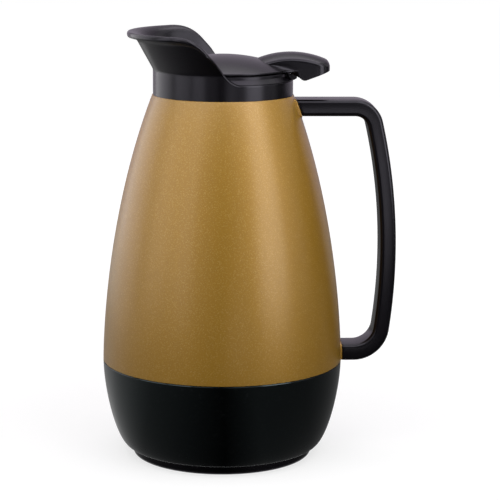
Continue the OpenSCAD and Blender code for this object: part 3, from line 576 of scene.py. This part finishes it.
# %% [markdown]
# ## The lever's side
# The side wall falls from the edge to the lever's lower edge, whose heights are given along
# x. Over the lid it falls to the dome instead. There it spreads outwards in a small fillet,
# widest where the lever leaves the dome, because a moulded inner corner is never sharp.

# %% Lever's side
low_edge_x = [16, 36.5, 42.3, 42.7, 43.4, 44.6, 45.7, 47.0, 59.5, 61.5, 70]
low_edge_z = [228.2, 228.0, 227.3, 225.6, 224.6, 223.6, 223.0, 222.8, 227.4, 228.2, 228.2]
fillet_x = [24.0, 27.0, 29.6, 32.6, 34.5, 36.5, 38.5, 40.5, 43.0]
fillet_w = [0.0, 0.5, 2.4, 4.7, 3.2, 1.9, 0.9, 0.3, 0.0]
sunk = 0.25
side_x, side_y, side_top = plans[-1, :, 0], plans[-1, :, 1], tops[-1]
fillet = np.interp(side_x, fillet_x, fillet_w) * (np.abs(side_y) > 13)
foot_y = np.abs(side_y) + fillet
over_lid = side_x < 43
lower_edge = np.where(over_lid, lid_z + edge_h - sunk, np.interp(side_x, low_edge_x, low_edge_z))
on_dome = np.hypot(side_x, foot_y) < lid_r + 0.1
side_low = np.where(on_dome, dome_height(side_x, foot_y) - sunk, lower_edge)
side_low = np.minimum(side_low, side_top - 0.1)
fall = np.linspace(0, np.pi / 2, 22)[1:, None]
wall_y = side_y + np.sign(side_y) * fillet * (1 - np.cos(fall)) ** 1.5
wall_z = side_top + (side_low - side_top) * np.sin(fall)
wall_rings = np.stack([side_x + 0 * fall, wall_y, wall_z], -1)
skirt_z = np.minimum(np.where(over_lid, lid_z + 0.02, side_low), side_low - 0.02)
skirt = np.stack([side_x, wall_y[-1], skirt_z], -1)[None]
print("lever's lowest point", round(float(skirt_z.min()), 2), "mm")

# %% [markdown]
# ## The lever's hollow
# From below the lever is hollow, since a moulding wants an even wall, and the hinge sits in
# there. The shut lid hides it. For each ring the plan below says how far in it lies, where
# its near end stands, and its share of the way from the lower edge up to the roof.

# %% Lever's hollow
hollow_plan = [(0.35, near_x, 0), (1.0, 20.0, 0), (2.0, 34.0, 0), (2.4, 38.0, 0.02),
               (2.4, 38.0, 0.3), (2.4, 38.0, 0.7), (2.4, 38.0, 1), (5.0, 38.0, 1),
               (9.0, 38.0, 1), (lever_half - 0.02, 38.0, 1)]
up_share = np.array([share for _, _, share in hollow_plan])[:, None]
hollow = np.stack([lever_outline(inward, near) for inward, near, _ in hollow_plan])
hollow_low = np.interp(hollow[..., 0], low_edge_x, low_edge_z)
roof_wall = lid_wall + 2.0 * smooth(55, 60, hollow[..., 0])
roof = np.maximum(hump_height(hollow[..., 0], hollow[..., 1]) - roof_wall, hollow_low + 0.2)
hollow_z = hollow_low + (roof - hollow_low) * up_share
hollow_rings = np.concatenate([hollow, hollow_z[..., None]], -1)
lever = np.concatenate([top_rings, wall_rings, skirt, hollow_rings])
print("lever has", len(lever), "rings, its hollow reaches up to", round(float(hollow_z.max()), 2), "mm")

# %% [markdown]
# ## The knuckle
# Under the lever a round knuckle sits between the stopper's two posts and turns with the
# lid on its pin. A rib joins it to the lever's roof. The wear on the lid is all on the
# lever's top, and grows towards the tip, where the thumb lies.

# %% Knuckle
def drum(x, z, r, half):
    """A short drum along y: its half outline, with eased ends, turned about its axis."""
    line = eased([(0, -half), (r, -half), (r, half), (0, half)], 0.3)
    a = np.linspace(0, 2 * np.pi, 48, endpoint=False)
    return np.stack([x + line[:, :1] * np.cos(a), line[:, 1:] + 0 * a,
                     z + line[:, :1] * np.sin(a)], -1)


def web(x0, x1, half, z0, z1):
    """A plain rib between two heights, closed above and below."""
    ring = np.array([(x0, -half), (x1, -half), (x1, half), (x0, half)])
    middle = ring.mean(0)
    rings = np.stack([0 * ring + middle, ring, ring, 0 * ring + middle])
    z = np.array([z0, z0, z1, z1])[:, None] + 0 * rings[..., 0]
    return np.concatenate([rings, z[..., None]], -1)


hinge_x, hinge_z = 42.0, 229.5
knuckle_r, knuckle_half, rib_half_t = 2.85, 4.7, 1.2
knuckle = drum(hinge_x, hinge_z, knuckle_r, knuckle_half)
rib = web(hinge_x - rib_half_t, hinge_x + rib_half_t, knuckle_half, hinge_z + 2.0, crest_z - 1.6)
lever_rub = np.zeros(lever.shape[:2])
lever_rub[:len(top_rings)] = smooth(34, 50, top_rings[..., 0])
lid_rub = [np.zeros(dome.shape[:2]), lever_rub, np.zeros(knuckle.shape[:2]), np.zeros(rib.shape[:2])]
lid = make_piece("lid_and_lever", [dome, lever, knuckle, rib], "lid", ["lid_cover"],
                 crease=40, worn=lid_rub)

# %% [markdown]
# ## Writing finishes as sums
# A finish is a set of small sums: a base value, plus a little noise, times a mask. A tiny
# class lets them be written that way. It holds one output of a node, and adding to it or
# multiplying it makes the Math node that does it, also when the number comes first.
# Everything else, from noise to colour ramps, comes from one method that takes the node's
# type, its settings and its inputs.

# %% Wire class
class Wire:
    """One output of a node in a finish; arithmetic on it adds Math nodes."""

    def __init__(self, paint, socket):
        self.paint, self.socket = paint, socket

    def _math(self, operation, first, second):
        """A Math node of two values, one of which may be a plain number."""
        return self.paint.add("ShaderNodeMath", {"operation": operation}, {0: first, 1: second})

    def __add__(self, other):
        return self._math("ADD", self, other)

    def __radd__(self, other):
        return self._math("ADD", other, self)

    def __sub__(self, other):
        return self._math("SUBTRACT", self, other)

    def __rsub__(self, other):
        return self._math("SUBTRACT", other, self)

    def __mul__(self, other):
        return self._math("MULTIPLY", self, other)

    def __rmul__(self, other):
        return self._math("MULTIPLY", other, self)

    def __gt__(self, other):
        return self._math("GREATER_THAN", self, other)

    def larger(self, other):
        """The larger one of two values at every spot."""
        return self._math("MAXIMUM", self, other)


# %% Paint class
class Paint:
    """A finish: a material or a world, its shader, and the nodes that are added to it."""

    def __init__(self, name, kind=bpy.data.materials, shader="Principled BSDF", **constants):
        """Starts a finish; sockets that keep one value are named with _ for a space."""
        self.material = kind.new(name)
        self.material.use_nodes = True
        self.tree = self.material.node_tree
        self.shader = self.tree.nodes[shader]
        self.place = self.add("ShaderNodeTexCoord", {}, {}, "Object")
        self.set(self.shader, {k.replace("_", " "): v for k, v in constants.items()})

    def set(self, node, inputs):
        """Gives a node's inputs their values; wires are joined, and colours get an alpha."""
        for key, value in inputs.items():
            if isinstance(value, Wire):
                self.tree.links.new(value.socket, node.inputs[key])
            elif isinstance(value, tuple) and len(value) == 3 and node.inputs[key].type == "RGBA":
                node.inputs[key].default_value = (*value, 1)
            else:
                node.inputs[key].default_value = value

    def add(self, kind, settings, inputs, output=0):
        """Adds any node: settings first, then the values or wires of its sockets. The
        stops of a colour ramp are pairs of a place from 0 to 1 and a colour."""
        node = self.tree.nodes.new(kind)
        for key, value in settings.items():
            if key == "stops":
                node.color_ramp.elements[0].position = value[0][0]
                node.color_ramp.elements[-1].position = value[-1][0]
                for at, _ in value[1:-1]:
                    node.color_ramp.elements.new(at)
                for element, (_, colour) in zip(node.color_ramp.elements, value):
                    element.color = (*colour, 1)
            else:
                setattr(node, key, value)
        self.set(node, inputs)
        return Wire(self, node.outputs[output])

    def noise(self, scale, detail=2.0, rough=0.5, place=None):
        """Noise from 0 to 1 whose grains are about one over scale metres wide."""
        return self.add("ShaderNodeTexNoise", {"noise_dimensions": "3D"},
                        {"Vector": place or self.place, "Scale": scale, "Detail": detail,
                         "Roughness": rough})

    def cells(self, scale):
        """A random value for each of the small cells that fill the space."""
        colour = self.add("ShaderNodeTexVoronoi", {"feature": "F1"},
                          {"Vector": self.place, "Scale": scale}, "Color")
        return self.add("ShaderNodeSeparateColor", {}, {0: colour})

    def blend(self, factor, first, second):
        """The first colour where the factor is 0, the second where it is 1."""
        return self.add("ShaderNodeMix", {"data_type": "RGBA"}, {0: factor, 6: first, 7: second}, 2)

    def seen(self):
        """1 for rays that show a thing, from the camera, by reflection or through glass,
        and 0 for rays that only light what they meet."""
        rays = [self.add("ShaderNodeLightPath", {}, {}, f"Is {kind} Ray")
                for kind in ("Camera", "Glossy", "Transmission")]
        return rays[0].larger(rays[1]).larger(rays[2])

    def bump(self, height, strength, distance):
        """A tilt of the skin from a height between 0 and 1; the distance is in metres."""
        return self.add("ShaderNodeBump", {}, {"Height": height, "Strength": strength,
                                               "Distance": distance})

    def finish(self, **sockets):
        """Joins the last wires to the shader and gives the finish back."""
        self.set(self.shader, {k.replace("_", " "): v for k, v in sockets.items()})
        print(self.material.name, "has", len(self.tree.nodes), "nodes")
        return self.material


# %% [markdown]
# ## The gold lacquer
# The shell is moulded in plastic and lacquered: metal flakes, a quarter to half a
# millimetre across, lie in an amber coat, and the clear lacquer over them gives the broad,
# whitish sheen. The flakes are cells with random values: most are as the ground, a few
# flash. They change colour, roughness and tilt together, so that they sparkle when the
# carafe turns. A slow cloud keeps the amber from being quite even.

# %% Gold
gold = Paint("gold_lacquer", Specular_IOR_Level=0.15, Coat_Weight=0.75, Coat_Roughness=0.32)
flake, fine = gold.cells(2600.0), gold.cells(4200.0)
cloud = gold.noise(34.0, 3.0)
amber = gold.blend(cloud * 0.5, (0.362, 0.184, 0.005), (0.326, 0.162, 0.004))
with_bright_flakes = gold.blend((flake > 0.86) * 0.30, amber, (0.60, 0.41, 0.12))
with_dark_flakes = gold.blend((fine > 0.80) * 0.20, with_bright_flakes, (0.15, 0.070, 0.004))
gold_lacquer = gold.finish(
    Base_Color=with_dark_flakes, Metallic=0.04 + 0.16 * flake,
    Roughness=0.46 - 0.08 * flake + 0.05 * cloud,
    Normal=gold.bump(flake * 0.7 + fine * 0.3, 0.12, 0.00008))

# %% [markdown]
# ## The cup's polish
# The cup is black plastic polished in the mould: almost a mirror, with a faint waviness
# and a few duller specks. In the last two centimetres above the foot, where it is set
# down, its polish is worn.

# %% Cup's polish
polish = Paint("gloss_black_plastic", Specular_IOR_Level=0.5, Specular_Tint=(0.80, 0.97, 1.0, 1.0))
wave = polish.noise(70.0, 1.0)
specks = polish.cells(900.0)
above_floor = polish.add("ShaderNodeSeparateXYZ", {}, {0: polish.place}, "Z")
low_down = polish.add("ShaderNodeMapRange", {}, {0: above_floor, 1: 0.02, 2: 0.004, 3: 0.0, 4: 1.0})
speckled_black = polish.blend((specks > 0.93) * 0.5, (0.0003, 0.0006, 0.0007),
                              (0.0030, 0.0034, 0.0036))
gloss_black = polish.finish(
    Base_Color=speckled_black,
    Roughness=0.10 + 0.05 * wave + (specks > 0.97) * 0.10 + 0.12 * low_down,
    Normal=polish.bump(wave, 0.05, 0.0008))

# %% [markdown]
# ## The satin black
# Head, handle and lid are the same plastic with a satin grain, and a slow unevenness where
# it flowed in the mould. Where hands and the stream of drink rub it, on the grip, the lever
# and the lip, the grain is polished down a little. The pieces carry that as a value at
# their points.

# %% Satin grain
satin = Paint("satin_black_plastic", Specular_IOR_Level=0.25, Specular_Tint=(0.90, 0.86, 1.0, 1.0))
grain = satin.noise(2400.0, 2.0, 0.6)
flow = satin.noise(45.0, 2.0)
rubbed_spot = satin.add("ShaderNodeAttribute", {"attribute_name": "rubbed"}, {}, "Fac")
uneven_black = satin.blend(flow * 0.6 + 0.3 * rubbed_spot, (0.0020, 0.0016, 0.0024),
                           (0.0036, 0.0030, 0.0044))
satin_black = satin.finish(
    Base_Color=uneven_black,
    Roughness=0.20 + 0.05 * flow + 0.05 * grain - 0.05 * rubbed_spot,
    Normal=satin.bump(grain, 0.06, 0.00005))

# %% [markdown]
# ## What is inside
# The flask's glass is silvered on the faces that meet the vacuum, so it looks like a dull
# mirror. Its pads are pressed fibre. Seals are rubber or pale silicone, and the screws and
# the hinge pin are drawn steel with fine lines along it. All of them are finished, since
# the carafe is also seen opened and taken apart.

# %% Inner finishes
silver = Paint("silvered_glass", Metallic=0.92)
streak = silver.noise(22.0, 4.0)
silvered_glass = silver.finish(
    Base_Color=silver.blend(streak, (0.62, 0.64, 0.66), (0.80, 0.80, 0.78)),
    Roughness=0.06 + 0.12 * streak)

fibre = Paint("mineral_fibre")
strands = fibre.noise(1500.0, 6.0, 0.7)
mineral_fibre = fibre.finish(
    Base_Color=fibre.blend(strands, (0.30, 0.27, 0.21), (0.52, 0.49, 0.42)),
    Roughness=0.82 + 0.15 * strands, Normal=fibre.bump(strands, 0.5, 0.0003))


def soft_rubber(name, dark, light, matt):
    """Moulded rubber: a fine bloom on its colour, and a dull, slightly uneven skin."""
    rubber = Paint(name)
    bloom = rubber.noise(260.0, 4.0)
    return rubber.finish(Base_Color=rubber.blend(bloom, dark, light), Roughness=matt + 0.12 * bloom,
                         Normal=rubber.bump(bloom, 0.08, 0.0002))


grey_rubber = soft_rubber("grey_rubber", (0.030, 0.030, 0.032), (0.055, 0.054, 0.054), 0.62)
pale_silicone = soft_rubber("pale_silicone", (0.40, 0.38, 0.34), (0.52, 0.50, 0.46), 0.38)

steel = Paint("drawn_steel", Metallic=1.0)
stretch = steel.add("ShaderNodeMapping", {}, {"Vector": steel.place, "Scale": (4.0, 60.0, 60.0)})
lines = steel.noise(60.0, 4.0, 0.7, stretch)
drawn_steel = steel.finish(
    Base_Color=steel.blend(lines, (0.46, 0.46, 0.47), (0.62, 0.62, 0.63)),
    Roughness=0.22 + 0.22 * lines, Normal=steel.bump(lines, 0.12, 0.00005))

# %% [markdown]
# ## Dressing the pieces
# Every node of the frame gets its finish, also the ones that a smoother skin stands for,
# and each new piece gets the same one as the node that it replaces.

# %% Dress
finishes = {
    "gold_lacquer": gold_lacquer, "gloss_black": gloss_black, "satin_black": satin_black,
    "silvered_glass": silvered_glass, "grey_rubber": grey_rubber, "pale_silicone": pale_silicone,
    "mineral_pad": mineral_fibre, "steel": drawn_steel}
slots = {part["node"]: part["material_slot"] for part in frame["record"]["subparts"]}
for node, obj in frame["nodes"].items():
    obj.data.materials.clear()
    obj.data.materials.append(finishes[slots[node]])
for obj, slot in ((shell, "gold_lacquer"), (cup, "gloss_black"), (head, "satin_black"),
                  (handle, "satin_black"), (lid, "satin_black")):
    obj.data.materials.append(finishes[slot])
print("finishes in use:", sorted(set(slots.values())))

# %% [markdown]
# ## The studio
# The photograph shows the carafe cut out on white. So the world is white paper wherever it
# is seen, straight or by reflection, but gives only an eighth of that as light. The rest
# comes from lamps.

# %% World
sky = Paint("white_paper", bpy.data.worlds, "Background", Color=(1.0, 1.0, 1.0))
bpy.context.scene.world = sky.finish(Strength=0.12 + 0.88 * sky.seen())

# %% [markdown]
# ## The lamps
# The reflections tell how the carafe was lit. Upright soft boxes stand in a ring round it:
# the brightest half right of the camera, a fainter one to the left, and a gap between them
# that draws the dark line down the collar. They show in reflections alone. Three boxes
# higher up and a large one above the lid, which look down on the carafe, light the colours.

# %% Lamps
def soft_box(name, bearing, distance, height, width, tall, level, towards=450):
    """A soft box at a bearing from the camera's side, in degrees to the right of it, turned
    to a height on the carafe's axis. Its level is how bright its face is, next to white
    paper's 1; the lamp's watts are that times its area and pi."""
    lamp = bpy.data.lights.new(name, "AREA")
    lamp.shape, lamp.size, lamp.size_y = "RECTANGLE", width, tall
    lamp.energy = level * np.pi * width * tall
    box = bpy.data.objects.new(name, lamp)
    bpy.context.scene.collection.objects.link(box)
    a = np.radians(bearing)
    aim(box, (distance * np.sin(a), -distance * np.cos(a), height), (0, 0, towards))
    box.visible_camera = False
    return box


upright_boxes = (("right_inner", 20, 0.38, 0.6), ("right_box", 50, 0.50, 5.4),
                 ("right_outer", 82, 0.40, 0.8), ("left_inner", -18, 0.28, 0.6),
                 ("left_box", -41, 0.36, 2.6), ("left_outer", -70, 0.50, 2.5),
                 ("left_paper", -117, 0.95, 1.6))
for name, bearing, width, level in upright_boxes:
    soft_box(name, bearing, 950, 520, width, 0.92, level).visible_diffuse = False
for name, bearing, level in (("top_left", -58, 1.9), ("top_front", 0, 2.1), ("top_right", 58, 2.4)):
    soft_box(name, bearing, 560, 900, 0.85, 0.60, level, towards=200)
ceiling = soft_box("ceiling", 180, 260, 1150, 1.0, 0.8, 1.9, towards=240)
ceiling.data.color = (1.0, 0.91, 1.03)

# %% [markdown]
# ## The floor
# Wherever it is seen, the floor glows like the paper, more so further off. The lamps' light
# on its grey skin adds the rest up to white, save in the carafe's shadow. So there is a
# soft shadow at the foot, and it runs out into pure white.

# %% Floor
floor_half = 4
floor_corners = [(-floor_half, -floor_half, 0), (floor_half, -floor_half, 0),
                 (floor_half, floor_half, 0), (-floor_half, floor_half, 0)]
floor_mesh = bpy.data.meshes.new("floor")
floor_mesh.from_pydata(floor_corners, [], [(0, 1, 2, 3)])
floor = bpy.data.objects.new("floor", floor_mesh)
ground = Paint("pale_floor", Roughness=0.9, Specular_IOR_Level=0.0, Emission_Strength=1.0)
tooth = ground.noise(300.0, 3.0)
way_off = ground.add("ShaderNodeVectorMath", {"operation": "LENGTH"}, {0: ground.place}, "Value")
far_off = ground.add("ShaderNodeMapRange", {}, {0: way_off, 1: 0.15, 2: 0.90, 3: 0.0, 4: 1.0})
paper = ground.blend(far_off, (0.74, 0.74, 0.74), (0.97, 0.97, 0.97))
floor_mesh.materials.append(ground.finish(
    Base_Color=ground.blend(tooth, (0.28, 0.28, 0.28), (0.32, 0.32, 0.32)),
    Emission_Color=ground.blend(ground.seen(), (0.0, 0.0, 0.0), paper)))

# %% [markdown]
# ## Cloth and cards
# A black mirror shows its whole room. Black cloth hung behind the camera keeps the plastic
# deep; it is there in reflections alone, so it paints dark reflections. A grey sheet that
# glows hangs at the back, and two rings of glowing card lie on the floor, whose glow changes
# on the way round: these are painted reflections. A bright glowing strip in the outer ring,
# a little right of the camera, paints a thin highlight low on the cup. All of them show in
# reflections alone, and throw neither light nor shadow.

# %% Cloth and cards
steps_round = 73


def cloth(name, low, high, first, last, finish):
    """A sheet between two circles, each a radius and a height in metres, over a range of
    bearings. It shows in reflections alone."""
    span = np.radians(np.linspace(first, last, steps_round))
    r, z = np.array([low, high]).T[:, :, None]
    points = np.stack([r * np.sin(span), -r * np.cos(span), z + 0 * span], -1)
    mesh = bpy.data.meshes.new(name)
    mesh.from_pydata(points.reshape(-1, 3).tolist(), [], quads_of(2, steps_round, False, 0).tolist())
    mesh.materials.append(finish)
    sheet = bpy.data.objects.new(name, mesh)
    bpy.context.scene.collection.objects.link(sheet)
    sheet.visible_camera = False
    sheet.visible_shadow = False
    sheet.visible_diffuse = False
    return sheet


def reflection_glow_card(name, glow_levels, tint=(1.0, 1.0, 1.0)):
    """Card that glows and is seen in reflections alone, a painted reflection. Its glow changes
    round the body, given at shares of a full turn. The share is 0 at the left, 0.25 towards
    the camera and 0.5 at the right."""
    card = Paint(name, Specular_IOR_Level=0.0, Emission_Strength=1.0)
    turn = card.add("ShaderNodeTexGradient", {"gradient_type": "RADIAL"}, {"Vector": card.place}, "Fac")
    stops = [(at, tuple(g * c for c in tint)) for at, g in glow_levels]
    glow_colour = card.add("ShaderNodeValToRGB", {"stops": stops}, {0: turn})
    return card.finish(Base_Color=(0.006, 0.006, 0.006), Roughness=0.95, Emission_Color=glow_colour)


# A black sheet seen only in reflections: it paints dark reflections that keep the plastic deep.
dark_reflection_cloth = reflection_glow_card("dark_reflection_cloth", [(0.0, 0.0), (1.0, 0.0)])
# A glowing sheet at the back, seen only in reflections: a painted reflection with a purple tint.
back_glow_card = reflection_glow_card("back_glow_card", [(0.0, 0.50), (1.0, 0.50)], (1.0, 0.89, 1.06))
# Glowing card round the foot, seen only in reflections: painted reflections, darkest towards the
# camera.
near_glow_card = reflection_glow_card("near_glow_card", [
    (0.0, 0.36), (0.045, 0.26), (0.08, 0.17), (0.14, 0.12), (0.22, 0.04), (0.25, 0.01),
    (0.32, 0.12), (0.45, 0.09), (0.60, 0.12), (0.80, 0.22), (0.92, 0.46), (1.0, 0.36)])
# Glowing card further out, seen only in reflections: painted reflections. Its bright strip at 0.265 to
# 0.285 paints a thin highlight low on the cup.
far_glow_card = reflection_glow_card("far_glow_card", [
    (0.0, 1.3), (0.03, 0.6), (0.065, 0.10), (0.136, 0.14), (0.20, 0.22), (0.235, 0.02),
    (0.255, 0.0), (0.265, 3.0), (0.285, 2.4), (0.31, 0.60), (0.36, 0.10), (0.45, 0.08),
    (0.53, 0.22), (0.60, 0.30), (0.67, 0.35), (0.735, 0.12), (0.785, 0.12), (0.83, 0.7),
    (0.90, 1.3), (0.95, 1.4), (1.0, 0.85)])
foot_edge, ring_edge, room_r = 0.0535, 0.62, 1.75
card_t = 0.0006
cards = [cloth("hung_cloth", (room_r, 0.0), (room_r, 2.6), -100, 100, dark_reflection_cloth),
         cloth("low_cloth", (room_r, 0.0), (room_r, 0.5), 100, 120, dark_reflection_cloth),
         cloth("back_glow_sheet", (room_r, 0.0), (room_r, 1.7), 120, 260, back_glow_card),
         cloth("near_sheet", (foot_edge, card_t), (ring_edge, card_t), -180, 180, near_glow_card),
         cloth("far_sheet", (ring_edge, card_t), (room_r, card_t), -180, 180, far_glow_card)]
bpy.context.scene.collection.objects.link(floor)

# %% [markdown]
# ## Last things
# The view transform stays plain, so that a colour renders about as it was written.

# %% Finish
bpy.context.scene.view_settings.view_transform = "Standard"
